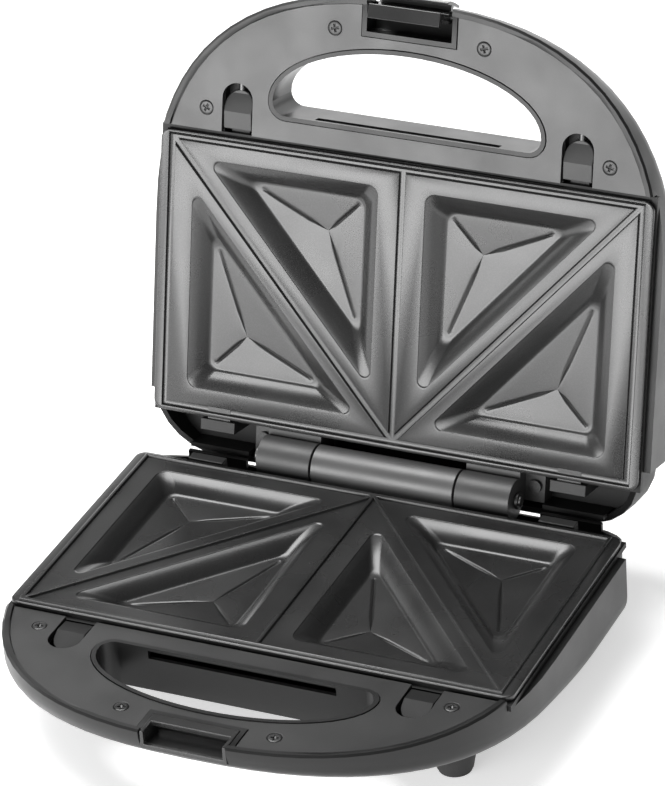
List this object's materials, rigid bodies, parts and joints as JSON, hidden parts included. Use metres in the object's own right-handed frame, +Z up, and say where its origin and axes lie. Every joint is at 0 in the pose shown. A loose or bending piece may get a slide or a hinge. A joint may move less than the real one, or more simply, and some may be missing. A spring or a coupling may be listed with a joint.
{
  "type": "sandwich toaster",
  "caption": "Sandwich toaster: two hinged shell halves with triangular-pocket plates, D-shaped finger holes and a front latch.",
  "frame": {"origin": "on the table, below the middle of the open toaster", "axes": "+X to the right seen from the handle, +Y away from the handle towards the hinge, +Z up"},
  "size_m": [0.2438, 0.2854, 0.2564],
  "materials": {
    "gloss_shell": "gloss",
    "black_housing": "satin",
    "base_panel_matt": "fine grained matt",
    "lid_panel_matt": "fine grained matt",
    "screw_steel": "blackened steel",
    "latch_plastic": "gloss",
    "lower_coating": "non-stick coating, satin",
    "upper_coating": "non-stick coating, satin",
    "element_sheath": "heat-tinted",
    "bare_aluminium": "mill finish",
    "thermostat_brass": "plain",
    "ceramic_white": "matt ceramic",
    "wire_sleeve": "glass-fibre sleeve",
    "black_rubber": "matt",
    "clip_plastic": "satin",
    "hinge_plastic": "satin",
    "arm_plastic": "satin",
    "pin_steel": "turned",
    "lower_tongue_plastic": "satin",
    "upper_tongue_plastic": "satin",
    "lamp_glass": "clear",
    "lens_plastic": "translucent gloss"
  },
  "bodies": {
    "root": {"base_cover": "gloss_shell", "base_housing": "black_housing", "base_panel": "base_panel_matt", "base_panel_screws": "screw_steel", "base_catch": "latch_plastic", "lower_plate": "lower_coating", "lower_element": "element_sheath", "lower_element_clamps": "bare_aluminium", "lower_reflector": "bare_aluminium", "base_thermostat": "thermostat_brass", "thermal_fuse": "ceramic_white", "terminal_block": "ceramic_white", "base_wiring": "wire_sleeve", "lead_inlet": "black_rubber", "base_rear_clips": "clip_plastic", "base_hinge": "hinge_plastic", "base_hinge_screws": "screw_steel", "hinge_pin": "pin_steel", "base_screws": "screw_steel", "front_feet": "black_rubber", "rear_feet": "black_rubber", "foot_pads": "black_rubber"},
    "lid": {"lid_cover": "gloss_shell", "lid_housing": "black_housing", "lid_panel": "lid_panel_matt", "lid_panel_screws": "screw_steel", "upper_plate": "upper_coating", "upper_element": "element_sheath", "upper_element_clamps": "bare_aluminium", "upper_reflector": "bare_aluminium", "lid_thermostat": "thermostat_brass", "indicator_lamps": "lamp_glass", "lamp_lenses": "lens_plastic", "lid_wiring": "wire_sleeve", "lid_rear_clips": "clip_plastic", "lid_hinge_arms": "arm_plastic", "lid_hinge_screws": "screw_steel", "lid_screws": "screw_steel", "latch_pin": "pin_steel"},
    "latch": {"latch_lever": "latch_plastic"},
    "lower_tongue_left": {"lower_release_left": "lower_tongue_plastic", "lower_spring_left": "pin_steel"},
    "lower_tongue_right": {"lower_release_right": "lower_tongue_plastic", "lower_spring_right": "pin_steel"},
    "upper_tongue_left": {"upper_release_left": "upper_tongue_plastic", "upper_spring_left": "pin_steel"},
    "upper_tongue_right": {"upper_release_right": "upper_tongue_plastic", "upper_spring_right": "pin_steel"}
  },
  "joints": [
    {"name": "lid_hinge", "type": "hinge", "parent": "root", "child": "lid", "pos_m": [0, 0.07779, 0.043], "axis": [1, 0, 0], "range_deg": [0, 103.6]},
    {"name": "latch_hinge", "type": "hinge", "parent": "lid", "child": "latch", "pos_m": [0, 0.13467, 0.24838], "axis": [1, 0, 0], "range_deg": [0, 15]},
    {"name": "lower_tongue_left_slide", "type": "slide", "parent": "root", "child": "lower_tongue_left", "axis": [0, -1, 0], "range_m": [0, 0.0035], "stiffness_N_per_m": 250, "springref_m": -0.002},
    {"name": "lower_tongue_right_slide", "type": "slide", "parent": "root", "child": "lower_tongue_right", "axis": [0, -1, 0], "range_m": [0, 0.0035], "stiffness_N_per_m": 250, "springref_m": -0.002},
    {"name": "upper_tongue_left_slide", "type": "slide", "parent": "lid", "child": "upper_tongue_left", "axis": [0, 0.2351, 0.972], "range_m": [0, 0.0035], "stiffness_N_per_m": 250, "springref_m": -0.002},
    {"name": "upper_tongue_right_slide", "type": "slide", "parent": "lid", "child": "upper_tongue_right", "axis": [0, 0.2351, 0.972], "range_m": [0, 0.0035], "stiffness_N_per_m": 250, "springref_m": -0.002}
  ]
}
